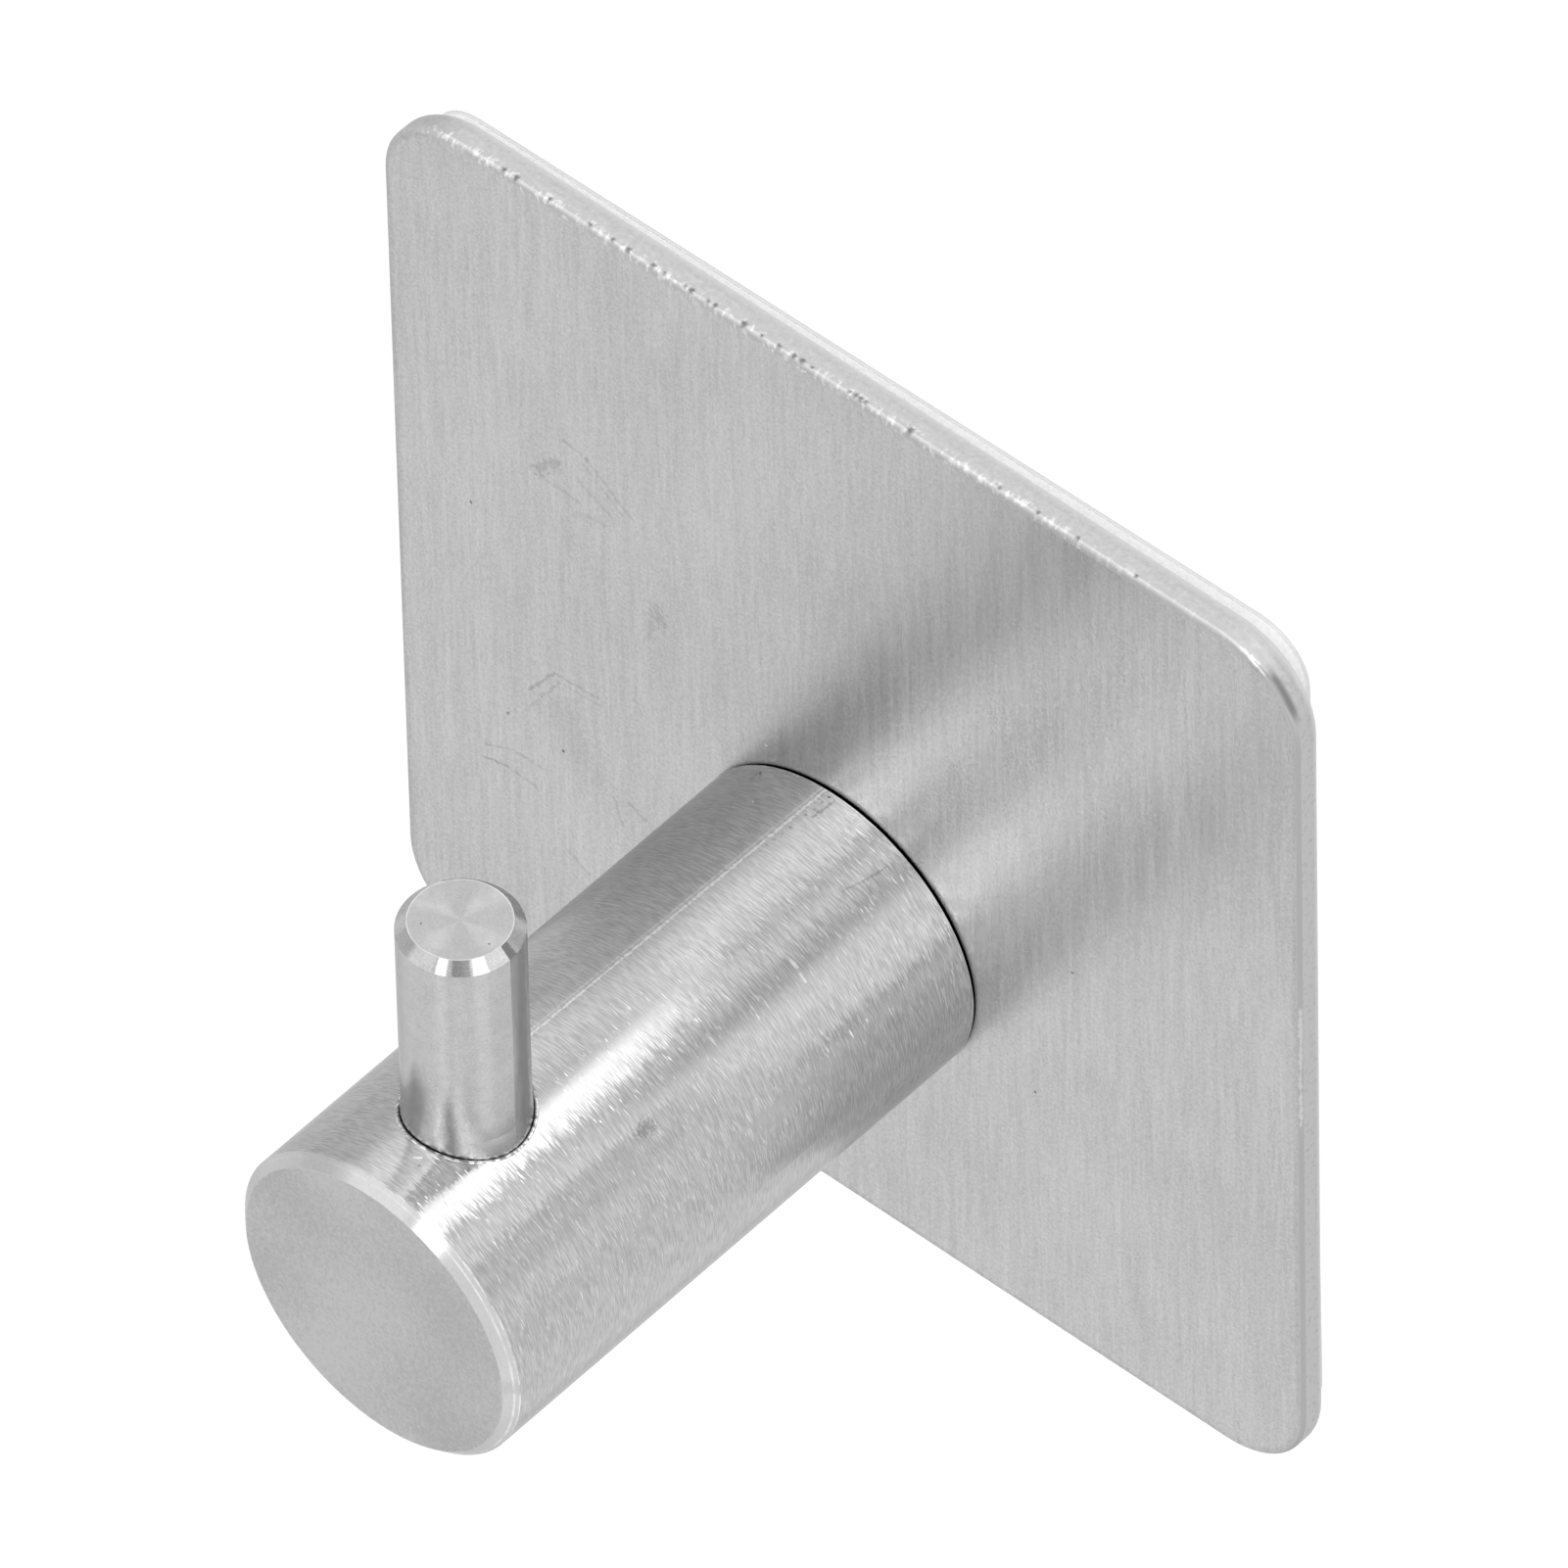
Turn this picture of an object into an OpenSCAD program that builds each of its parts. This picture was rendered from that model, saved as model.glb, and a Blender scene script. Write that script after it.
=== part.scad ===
// Adhesive wall hook: a square steel plate on a foam pad, with a round post and an upright pin.
// The wall is the plane y = 0 and the hook stands out of it along -Y, with +Z up and +X to the right.
// The origin is on the wall, behind the middle of the plate.

/* [Plate] */
// Width of the plate
plate_w = 46; // [36:1:70]
// Height of the plate
plate_h = 46; // [36:1:70]
// Thickness of the plate's sheet
plate_t = 1.5; // [1.2:0.1:3]
// Radius of the plate's four corners
plate_corner_r = 4; // [1.5:0.5:12]
// Rounding of the front edge, left by brushing over it
plate_front_round = 0.2; // [0.1:0.05:0.4]
// Rounding of the back edge, where the blanking tool rolled the sheet over
plate_back_round = 0.75; // [0.3:0.05:0.75]

/* [Post] */
// Diameter of the post
post_d = 14; // [11:0.5:20]
// Length of the post in front of the plate
post_l = 26.5; // [22:0.5:50]
// Distance of the post's axis below the middle of the plate
post_drop = 7.1; // [0:0.1:12]
// Distance of the post's axis to the right of the middle of the plate
post_side = -0.45; // [-3:0.05:3]
// Chamfer round the post's free end
post_end_chamfer = 0.45; // [0.2:0.05:1]
// Chamfer round the post's foot, which shows as a dark line on the plate
post_foot_chamfer = 0.15; // [0.05:0.05:0.5]

/* [Pin] */
// Diameter of the pin where it stands free
pin_d = 5; // [3:0.5:7]
// Height of the pin above the crown of the post
pin_rise = 10.5; // [6:0.5:20]
// Depth of the pin in the post, below the crown
pin_depth = 7.5; // [5:0.5:9]
// Distance of the pin's axis from the post's free end
pin_set_back = 5.5; // [4.5:0.25:8]
// Chamfer at both ends of the pin
pin_chamfer = 0.45; // [0.2:0.05:1]
// Swell of the pin's radius toward its buried shank, which grips the hole
pin_swell = 0.1; // [0.05:0.05:0.3]
// Height above the crown of the post at which the swell starts
pin_swell_rise = 0.6; // [0.2:0.1:2]
// Radial clearance of the shank in its hole
pin_fit = 0.02; // [0.01:0.01:0.05]
// Radial width of the open ring round the shank at the mouth of its hole
pin_mouth_gap = 0.06; // [0.05:0.01:0.3]
// Depth of that ring below the crown of the post
pin_mouth_depth = 1.2; // [1:0.1:2]

/* [Screw] */
// Thread diameter of the countersunk screw that holds the post
screw_d = 4; // [3:0.5:5]
// Length of the screw, head included
screw_l = 10; // [7:1:13]
// Largest diameter of the screw's head, which has a 90 degree cone
screw_head_d = 7.6; // [6.6:0.2:9]
// Depth of the head's flat face below the back of the plate
screw_sink = 0.05; // [0.05:0.05:0.3]
// Radial clearance round the screw
screw_fit = 0.05; // [0.02:0.01:0.1]
// Width across the flats of the hexagon socket
socket_flats = 2.5; // [1.5:0.5:3]
// Depth of the hexagon socket
socket_depth = 1.4; // [1:0.1:2]

/* [Adhesive pad] */
// Distance of the pad's edge inside the plate's edge
pad_inset = 1; // [0.8:0.1:5]
// Radius of the pad's corners
pad_corner_r = 2.4; // [0.5:0.1:10]
// Thickness of the foam
foam_t = 0.8; // [0.5:0.1:3]
// Thickness of each of the two coats of adhesive
coat_t = 0.05; // [0.05:0.01:0.15]
// Thickness of the release liner
liner_t = 0.1; // [0.05:0.01:0.2]
// Distance by which the pad was stuck on below the middle of the plate
pad_drop = 0.3; // [0:0.1:0.5]
// Distance by which the pad was stuck on to the left of the middle of the plate
pad_left = 0.4; // [0:0.1:0.5]
// Angle in degrees by which the pad was stuck on turned
pad_turn = 0.5; // [-1:0.1:1]

/* [Hidden] */
$fn = 96;
// Overrun of every cut past the face that it leaves by
cut_over = 0.5;

// Distances from the wall
coat_rear_out = liner_t;
foam_out = coat_rear_out + coat_t;
coat_front_out = foam_out + foam_t;
plate_back_out = coat_front_out + coat_t;
plate_front_out = plate_back_out + plate_t;
post_end_out = plate_front_out + post_l;

// Straight stretches of the plate between its corners
plate_flat_w = plate_w - 2 * plate_corner_r;
plate_flat_h = plate_h - 2 * plate_corner_r;

post_r = post_d / 2;
post_crown_z = post_r - post_drop;
pin_r = pin_d / 2;
shank_r = pin_r + pin_swell;
pin_y = pin_set_back - post_end_out;
pin_l = pin_depth + pin_rise;

// Screw sizes, measured from the back of the plate
screw_r = screw_d / 2;
screw_head_r = screw_head_d / 2;
screw_cone_end = screw_sink + screw_head_r - screw_r;
// Chamfer at the tip of the screw
screw_tip_chamfer = 0.4;
// Run-out of the tapped hole past the tip of the screw
screw_hole_spare = 1;
// Angle between the axis and the side of the drill point
drill_half_angle = 59;
// Gap under the foot of the pin, at the bottom of its hole
pin_foot_gap = 0.1;

// Stands a shape drawn in X and Y on the plane at this distance from the wall, growing away from it
module outward(distance) {
    translate([0, -distance, 0]) rotate([90, 0, 0]) children();
}

// Moves a shape to the axis of the post, while it is still drawn in X and Y
module on_post_axis() {
    translate([post_side, -post_drop, 0]) children();
}

// What a rounding of this radius takes off a square corner that points to +X and +Y
module round_off(radius) {
    difference() {
        square(radius + cut_over);
        circle(radius);
    }
}

// Section through the edge of the plate: X runs out to the edge and Y from the back to the front
module plate_edge_section() {
    difference() {
        square([plate_corner_r, plate_t]);
        translate([plate_corner_r - plate_front_round, plate_t - plate_front_round])
            round_off(plate_front_round);
        translate([plate_corner_r - plate_back_round, plate_back_round])
            mirror([0, 1]) round_off(plate_back_round);
    }
}

// Two opposite straight edges of the plate
module plate_edge_pair(apart, run) {
    for (side = [0, 180])
        rotate(side) translate([apart / 2, 0, 0]) rotate([90, 0, 0])
            linear_extrude(run, center = true) plate_edge_section();
}

// Blanked plate with its rounded front edge and rolled back edge
module plate_blank() {
    linear_extrude(plate_t) square([plate_flat_w, plate_flat_h], center = true);
    plate_edge_pair(plate_flat_w, plate_flat_h);
    rotate(90) plate_edge_pair(plate_flat_h, plate_flat_w);
    for (right = [0, 1], top = [0, 1])
        mirror([1 - right, 0]) mirror([0, 1 - top])
            translate([plate_flat_w / 2, plate_flat_h / 2, 0])
                rotate_extrude(angle = 90) plate_edge_section();
}

// Room for the screw, from behind the plate to the drill point in the post
module screw_room() {
    bore_r = screw_r + screw_fit;
    bore_end = screw_l + screw_hole_spare;
    mouth_r = screw_head_r + screw_sink + cut_over + screw_fit;
    rotate_extrude()
        polygon([
            [0, -cut_over],
            [mouth_r, -cut_over],
            [bore_r, screw_cone_end],
            [bore_r, bore_end],
            [0, bore_end + bore_r / tan(drill_half_angle)],
        ]);
}

// Blind cross hole for the pin, with its wider mouth
module pin_hole() {
    hole_l = pin_depth + pin_foot_gap + cut_over;
    translate([post_side, pin_y, post_crown_z - pin_depth - pin_foot_gap])
        cylinder(h = hole_l, r = shank_r + pin_fit);
    translate([post_side, pin_y, post_crown_z - pin_mouth_depth])
        cylinder(h = pin_mouth_depth + cut_over, r = shank_r + pin_mouth_gap);
}

// One layer of the pad, as it was cut and stuck on
module pad_layer(distance, thickness) {
    w = plate_w - 2 * pad_inset;
    h = plate_h - 2 * pad_inset;
    outward(distance) translate([-pad_left, -pad_drop, 0]) rotate(pad_turn)
        linear_extrude(thickness) {
            square([w, h - 2 * pad_corner_r], center = true);
            square([w - 2 * pad_corner_r, h], center = true);
            for (x = [-1, 1], y = [-1, 1])
                translate([x * (w / 2 - pad_corner_r), y * (h / 2 - pad_corner_r)])
                    circle(pad_corner_r);
        }
}

module wall_plate() {
    color("silver") outward(plate_back_out)
        difference() {
            plate_blank();
            on_post_axis() screw_room();
        }
}

module hook_post() {
    color("silver")
        difference() {
            outward(plate_front_out) on_post_axis()
                rotate_extrude()
                    polygon([
                        [0, 0],
                        [post_r - post_foot_chamfer, 0],
                        [post_r, post_foot_chamfer],
                        [post_r, post_l - post_end_chamfer],
                        [post_r - post_end_chamfer, post_l],
                        [0, post_l],
                    ]);
            outward(plate_back_out) on_post_axis() screw_room();
            pin_hole();
        }
}

module hook_pin() {
    color("gainsboro")
        translate([post_side, pin_y, post_crown_z - pin_depth])
            rotate_extrude()
                polygon([
                    [0, 0],
                    [shank_r - pin_chamfer, 0],
                    [shank_r, pin_chamfer],
                    [shank_r, pin_depth - pin_mouth_depth],
                    [pin_r, pin_depth + pin_swell_rise],
                    [pin_r, pin_l - pin_chamfer],
                    [pin_r - pin_chamfer, pin_l],
                    [0, pin_l],
                ]);
}

module post_screw() {
    socket_r = socket_flats / 2 / cos(30);
    color("darkgray") outward(plate_back_out) on_post_axis()
        difference() {
            rotate_extrude()
                polygon([
                    [0, screw_sink],
                    [screw_head_r, screw_sink],
                    [screw_r, screw_cone_end],
                    [screw_r, screw_l - screw_tip_chamfer],
                    [screw_r - screw_tip_chamfer, screw_l],
                    [0, screw_l],
                ]);
            translate([0, 0, screw_sink - cut_over])
                cylinder(h = socket_depth + cut_over, r = socket_r, $fn = 6);
        }
}

module front_adhesive() {
    color("whitesmoke") pad_layer(coat_front_out, coat_t);
}

module foam_pad() {
    color("white") pad_layer(foam_out, foam_t);
}

module rear_adhesive() {
    color("whitesmoke") pad_layer(coat_rear_out, coat_t);
}

module release_liner() {
    color("gainsboro") pad_layer(0, liner_t);
}

wall_plate();
hook_post();
hook_pin();
post_screw();
front_adhesive();
foam_pad();
rear_adhesive();
release_liner();
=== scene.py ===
"""Looks of an adhesive wall hook: a square plate, a round post, an upright pin and a foam pad."""

import math

import bmesh
import bpy
from mathutils import Matrix, Vector, noise


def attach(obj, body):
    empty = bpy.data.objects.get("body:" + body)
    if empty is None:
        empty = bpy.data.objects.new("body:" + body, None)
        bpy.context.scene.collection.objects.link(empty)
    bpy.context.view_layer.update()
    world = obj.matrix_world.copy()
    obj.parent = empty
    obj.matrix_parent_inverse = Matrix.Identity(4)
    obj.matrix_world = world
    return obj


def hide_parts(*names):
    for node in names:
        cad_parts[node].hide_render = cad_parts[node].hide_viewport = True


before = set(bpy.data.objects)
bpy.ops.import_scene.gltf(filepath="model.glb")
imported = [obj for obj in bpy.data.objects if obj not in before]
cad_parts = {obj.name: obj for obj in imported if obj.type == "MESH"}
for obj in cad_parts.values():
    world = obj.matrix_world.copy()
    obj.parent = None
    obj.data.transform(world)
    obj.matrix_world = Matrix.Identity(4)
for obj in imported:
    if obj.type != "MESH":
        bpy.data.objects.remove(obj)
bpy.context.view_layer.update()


# ---- Wall plate -------------------------------------------------------------------------------
# The plate is a 46 mm square blanked from 1.5 mm stainless sheet. Its face is brushed upright on a
# belt. The same belt breaks the front edge, which is left bright and nicked along the top.


def srgb(code):
    """Linear colour from an sRGB hex value."""
    shares = [int(code[i : i + 2], 16) / 255 for i in (0, 2, 4)]
    return [s / 12.92 if s <= 0.04045 else ((s + 0.055) / 1.055) ** 2.4 for s in shares] + [1.0]


def add(tree, kind, inputs=None, out=0, **settings):
    """Adds a node with its settings, fills or links its inputs, and gives back one of its outputs.

    With out=None it gives back all of them.
    """
    node = tree.nodes.new("ShaderNode" + kind)
    for name, value in settings.items():
        setattr(node, name, value)
    for key, value in (inputs or {}).items():
        if isinstance(value, bpy.types.NodeSocket):
            tree.links.new(value, node.inputs[key])
        else:
            node.inputs[key].default_value = value
    return node.outputs if out is None else node.outputs[out]


def new_finish(name):
    """An empty material, its tree, and the point in millimetres and the normal that are seen."""
    material = bpy.data.materials.new(name)
    material.use_nodes = True
    tree = material.node_tree
    tree.nodes.clear()
    metres = add(tree, "TexCoord", out="Object")
    point = add(tree, "VectorMath", {0: metres, 1: (1000, 1000, 1000)}, operation="MULTIPLY")
    return material, tree, point, add(tree, "TexCoord", out="Normal")


def scuff(tree, colour, point, uneven, start, end, half, share, code):
    """Colours a worn line from start to end, or a spot where they are equal. The 0 to 1 pattern
    uneven frays it, half is its half width in mm, and share is how much of the colour it gets."""
    way = Vector(end) - Vector(start)
    off = add(tree, "VectorMath", {0: point, 1: start}, operation="SUBTRACT")
    if way.length > 0:
        pace = way / way.length_squared
        along = add(tree, "VectorMath", {0: off, 1: pace}, out="Value", operation="DOT_PRODUCT")
        along = add(tree, "Clamp", {"Value": along})
        along = add(tree, "VectorMath", {0: way, "Scale": along}, operation="SCALE")
        off = add(tree, "VectorMath", {0: off, 1: along}, operation="SUBTRACT")
    off = add(tree, "VectorMath", {0: off}, out="Value", operation="LENGTH")
    off = add(tree, "Math", {0: uneven, 1: 1.6 * half, 2: off}, operation="MULTIPLY_ADD")
    worn = add(tree, "MapRange", {"Value": off, 1: 2.1 * half, 2: 1.3 * half, 3: 0, 4: share})
    return add(tree, "Mix", {0: worn, 6: colour, 7: srgb(code)}, out=2, data_type="RGBA")


plate_half, plate_corner = 23.0, 4.0
plate_front = -2.5
post_x, post_z, post_r = -0.45, -7.1, 7.0

# Belt brushed stainless sheet: a soft grey that smears what it reflects sideways, across the grain.
plate_steel, tree, point, normal = new_finish("belt_brushed_stainless_sheet")
x, y, z = add(tree, "SeparateXYZ", {0: point}, out=None)
nx, ny, nz = add(tree, "SeparateXYZ", {0: normal}, out=None)
# A 240 grit belt cuts a groove about every 0.05 mm, 2 to 4 mm long. They are drawn 0.14 mm apart.
grain_at = add(tree, "Mapping", {"Vector": point, "Scale": (0.14, 1, 2.4)}, vector_type="TEXTURE")
grain = add(tree, "TexNoise", {"Vector": grain_at, "Scale": 1, "Detail": 0})
# Worn grit leaves wider bands, 0.3 to 0.5 mm across and 5 to 10 mm long.
band_at = add(tree, "Mapping", {"Vector": point, "Scale": (0.4, 4, 7)}, vector_type="TEXTURE")
bands = add(tree, "TexNoise", {"Vector": band_at, "Scale": 1, "Detail": 0})
# The sheet's own crystals and handling leave specks of 0.1 mm and clouds of 8 mm.
specks = add(tree, "TexNoise", {"Vector": point, "Scale": 1 / 0.13, "Detail": 2, "Roughness": 0.7})
clouds = add(tree, "TexNoise", {"Vector": point, "Scale": 1 / 8, "Detail": 2})
tone = add(tree, "Math", {0: grain, 1: 0.16}, operation="MULTIPLY")
tone = add(tree, "Math", {0: bands, 1: 0.1, 2: tone}, operation="MULTIPLY_ADD")
tone = add(tree, "Math", {0: specks, 1: 0.6, 2: tone}, operation="MULTIPLY_ADD")
tone = add(tree, "Math", {0: clouds, 1: 0.18, 2: tone}, operation="MULTIPLY_ADD")
tone = add(tree, "MapRange", {"Value": tone, 1: 0.39, 2: 0.65})
colour = add(tree, "Mix", {0: tone, 6: srgb("BCBCBC"), 7: srgb("D6D6D6")}, out=2, data_type="RGBA")
# Other hooks rubbed on it in the box: broken worn lines and dull patches to the left, and specks.
mottle = add(tree, "TexNoise", {"Vector": point, "Scale": 1 / 0.25, "Detail": 3, "Roughness": 0.7})
patchy = add(tree, "MapRange", {"Value": mottle, 1: 0.4, 2: 0.6})
for x0, z0, x1, z1, half, share in (
    (-15.5, 7.3, -14.5, 8.4, 0.24, 0.4), (-15.4, 7.1, -13.4, 7.0, 0.12, 0.25),
    (-13.4, 8.2, -11.7, 7.3, 0.12, 0.25), (-14.1, 10.0, -12.9, 9.7, 0.07, 0.3),
    (-12.9, 9.7, -10.7, 8.0, 0.08, 0.3), (-13.1, 9.3, -11.1, 7.8, 0.06, 0.25),
    (-13.6, 6.2, -12.2, 6.7, 0.2, 0.2), (-9.5, 3.5, -9.4, 3.2, 0.36, 0.4),
    (-9.8, 2.7, -9.9, 1.8, 0.12, 0.3), (-16.4, -5.9, -14.95, -3.85, 0.06, 0.5),
    (-16.3, -6.7, -14.7, -4.2, 0.05, 0.25), (-14.95, -3.85, -12.7, -3.65, 0.07, 0.35),
    (-14.7, -4.2, -12.6, -4.0, 0.05, 0.25), (-18.8, -11.4, -17.6, -11.1, 0.06, 0.55),
    (-17.6, -11.1, -16.1, -11.2, 0.06, 0.3), (-18.7, -10.6, -17.3, -9.9, 0.06, 0.35),
    (-17.3, -9.9, -15.5, -9.9, 0.06, 0.3), (-14.5, -13.7, -13.5, -14.3, 0.07, 0.3),
    (-12.0, -8.9, -11.6, -10.2, 0.07, 0.35), (-11.2, -8.6, -10.4, -9.0, 0.1, 0.35),
    (-14.6, -6.2, -14.0, -7.6, 1.1, 0.15),
):
    start, end = (x0, plate_front, z0), (x1, plate_front, z1)
    colour = scuff(tree, colour, point, patchy, start, end, half, share, "929292")
for spot_x, spot_z, half, code in (
    (-19.03, 2.93, 0.08, "707070"), (-14.62, -8.07, 0.08, "606060"),
    (-17.45, -7.93, 0.08, "808080"), (9.5, -10.0, 0.08, "707070"), (11.5, -1.7, 0.07, "707070"),
    (-4.02, -0.05, 0.07, "FFFFFF"),
):
    spot = (spot_x, plate_front, spot_z)
    colour = scuff(tree, colour, point, specks, spot, spot, half, 0.9, code)
# The sides are as the blanking tool left them: tumbled, without grain, mottled 0.25 mm wide. The
# top is painted lighter and the other three greyer as painted light and shade, and the rolled back
# edge is painted light so that it shows no shade.
side = add(tree, "Math", {0: ny}, operation="ABSOLUTE")
side = add(tree, "MapRange", {"Value": side, 1: 0.97, 2: 0.8}, interpolation_type="SMOOTHSTEP")
patches = add(tree, "MapRange", {"Value": mottle, 1: 0.3, 2: 0.7})
pores = add(tree, "MapRange", {"Value": mottle, 1: 0.34, 2: 0.46})
painted_lit_top = add(tree, "Mix", {0: patches, 6: srgb("C6C6C6"), 7: srgb("DCDCDC")}, out=2, data_type="RGBA")
painted_shaded_sides = add(tree, "Mix", {0: pores, 6: srgb("BCBCBC"), 7: srgb("CFCFCF")}, out=2, data_type="RGBA")
upward = add(tree, "MapRange", {"Value": nz, 1: 0.25, 2: 0.6}, interpolation_type="SMOOTHSTEP")
rim_mottle_and_painted_light = add(tree, "Mix", {0: upward, 6: painted_shaded_sides, 7: painted_lit_top}, out=2, data_type="RGBA")
painted_light_rolled = add(tree, "MapRange", {"Value": ny, 1: 0.1, 2: 0.6, 3: 0, 4: 0.8})
rim_mottle_and_painted_light = add(tree, "Mix", {0: painted_light_rolled, 6: rim_mottle_and_painted_light, 7: srgb("F4F4F4")}, out=2, data_type="RGBA")
colour = add(tree, "Mix", {0: side, 6: colour, 7: rim_mottle_and_painted_light}, out=2, data_type="RGBA")
# The right hand front edge is painted darker, as shade in place of the lamps' light on it, except
# for a lighter stretch 7 mm long in the middle.
painted_shade_right_edge = add(tree, "Math", {0: nx, 1: ny}, operation="MULTIPLY")
painted_shade_right_edge = {"Value": painted_shade_right_edge, 1: -0.05, 2: -0.35}
painted_shade_right_edge = add(tree, "MapRange", painted_shade_right_edge, interpolation_type="SMOOTHSTEP")
colour = add(tree, "Mix", {0: painted_shade_right_edge, 6: colour, 7: srgb("BABABA")}, out=2, data_type="RGBA")
arris_out, arris_y = plate_half - 0.07, plate_front + 0.07
start, end = (arris_out, arris_y, 4.6), (arris_out, arris_y, -2.0)
colour = scuff(tree, colour, point, patchy, start, end, 0.06, 0.7, "E0E0E0")
# The front edge is broken along the top in a band 0.35 mm wide, worn and also painted bright as a
# highlight. At the left the belt tore it into light shreds that lie across it, about 0.15 mm wide
# and 0.3 mm long, and come in groups.
run = plate_half - plate_corner
out = add(tree, "VectorMath", {0: point}, operation="ABSOLUTE")
out = add(tree, "VectorMath", {0: out, 1: (run, 0, run)}, operation="SUBTRACT")
out = add(tree, "VectorMath", {0: out, 1: (0, 0, 0)}, operation="MAXIMUM")
out = add(tree, "VectorMath", {0: out, 1: (1, 0, 1)}, operation="MULTIPLY")
out = add(tree, "VectorMath", {0: out}, out="Value", operation="LENGTH")
from_arris = add(tree, "Math", {0: y, 1: out}, operation="SUBTRACT")
from_arris = add(tree, "Math", {0: from_arris, 1: plate_corner - plate_front}, operation="ADD")
shred_at = add(tree, "Mapping", {"Vector": point, "Scale": (0.18, 0.4, 0.4)}, vector_type="TEXTURE")
shreds = add(tree, "TexNoise", {"Vector": shred_at, "Scale": 1, "Detail": 2, "Roughness": 0.6})
from_arris = add(tree, "Math", {0: mottle, 1: 0.3, 2: from_arris}, operation="MULTIPLY_ADD")
edge = {"Value": from_arris, 1: 0.62, 2: 0.4}
edge = add(tree, "MapRange", edge, interpolation_type="SMOOTHSTEP")
upper = {"Value": z, 1: plate_half - 0.8, 2: plate_half - 0.3}
upper = add(tree, "MapRange", upper, interpolation_type="SMOOTHSTEP")
worn_and_highlit_edge = add(tree, "Math", {0: edge, 1: upper}, operation="MULTIPLY")
groups = add(tree, "TexNoise", {"Vector": point, "Scale": 1 / 1.2, "Detail": 1})
groups = add(tree, "MapRange", {"Value": groups, 1: 0.3, 2: 0.5})
leftward = add(tree, "MapRange", {"Value": x, 1: 16, 2: 9, 3: 0.25, 4: 1})
teeth = add(tree, "MapRange", {"Value": shreds, 1: 0.5, 2: 0.64})
for limit in (groups, leftward):
    teeth = add(tree, "Math", {0: teeth, 1: limit}, operation="MULTIPLY")
shred = add(tree, "Mix", {0: teeth, 6: srgb("D0D0D0"), 7: srgb("F6F6F6")}, out=2, data_type="RGBA")
colour = add(tree, "Mix", {0: worn_and_highlit_edge, 6: colour, 7: shred}, out=2, data_type="RGBA")
# Three glints lie at the start of the top right corner.
for x0, z0, x1, z1, half, share in (
    (20.15, 22.85, 20.45, 22.74, 0.08, 0.6), (20.6, 22.66, 20.9, 22.47, 0.12, 0.8),
    (20.95, 22.44, 21.3, 22.17, 0.05, 0.7),
):
    start, end = (x0, plate_front + 0.08, z0), (x1, plate_front + 0.08, z1)
    colour = scuff(tree, colour, point, specks, start, end, half, share, "FFFFFF")
# Nicks 0.15 to 0.25 mm across in that edge, from knocks, at their places along the top.
nicks = 0.0
nick_y, nick_z = plate_front + 0.14, plate_half - 0.03
for nick_x, half in (
    (-16.86, 0.08), (-16.24, 0.11), (-14.54, 0.07), (-12.5, 0.08), (-11.34, 0.07), (-10.56, 0.1),
    (-9.3, 0.1), (-8.7, 0.05), (-7.7, 0.06), (-7.35, 0.1), (-6.5, 0.07), (-6.15, 0.1), (-4.7, 0.12),
    (-3.8, 0.05), (-2.95, 0.08), (-2.2, 0.09), (-1.8, 0.1), (-1.3, 0.05), (0.6, 0.05), (0.9, 0.08),
    (1.15, 0.1), (1.4, 0.08), (3.64, 0.12), (8.1, 0.05), (10.0, 0.06), (12.0, 0.06), (14.9, 0.05),
):
    away = {0: point, 1: (nick_x, nick_y, nick_z)}
    away = add(tree, "VectorMath", away, out="Value", operation="DISTANCE")
    away = add(tree, "Math", {0: specks, 1: 0.2, 2: away}, operation="MULTIPLY_ADD")
    nick = {"Value": away, 1: half + 0.18, 2: half * 0.7 + 0.08, 3: 0, 4: 0.85}
    nick = add(tree, "MapRange", nick)
    nicks = add(tree, "Math", {0: nicks, 1: nick}, operation="MAXIMUM")
colour = add(tree, "Mix", {0: nicks, 6: colour, 7: srgb("6A6A6A")}, out=2, data_type="RGBA")
# At the top right corner the edge is burnished dark over a few millimetres.
along = add(tree, "MapRange", {"Value": nz, 1: 0.28, 2: 0.5}, interpolation_type="SMOOTHSTEP")
beyond = add(tree, "MapRange", {"Value": nz, 1: 0.84, 2: 0.74}, interpolation_type="SMOOTHSTEP")
rightward = add(tree, "MapRange", {"Value": nx, 1: 0.3, 2: 0.4})
deep = {"Value": y, 1: plate_front + 0.03, 2: plate_front + 0.12}
deep = add(tree, "MapRange", deep, interpolation_type="SMOOTHSTEP")
shallow = {"Value": y, 1: plate_front + 0.55, 2: plate_front + 0.3}
shallow = add(tree, "MapRange", shallow, interpolation_type="SMOOTHSTEP")
burnish = 0.85
for limit in (along, beyond, rightward, deep, shallow):
    burnish = add(tree, "Math", {0: burnish, 1: limit}, operation="MULTIPLY")
colour = add(tree, "Mix", {0: burnish, 6: colour, 7: srgb("8A8A8A")}, out=2, data_type="RGBA")
# Painted shade: a black ring in the narrow joint round the foot of the post, where it lies in
# shadow.
flat = add(tree, "VectorMath", {0: point, 1: (1, 0, 1)}, operation="MULTIPLY")
post_axis = (post_x, 0, post_z)
away = add(tree, "VectorMath", {0: flat, 1: post_axis}, out="Value", operation="DISTANCE")
painted_joint_shade = add(tree, "MapRange", {"Value": away, 1: post_r - 0.03, 2: post_r - 0.07})
colour = add(tree, "Mix", {0: painted_joint_shade, 6: colour, 7: srgb("0A0A0A")}, out=2, data_type="RGBA")
rough = add(tree, "MapRange", {"Value": bands, 1: 0.3, 2: 0.7, 3: 0.25, 4: 0.28})
rough = add(tree, "Mix", {0: side, 2: rough, 3: 0.5}, data_type="FLOAT")
smear = add(tree, "Mix", {0: side, 2: 0.75, 3: 0.2}, data_type="FLOAT")
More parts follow.
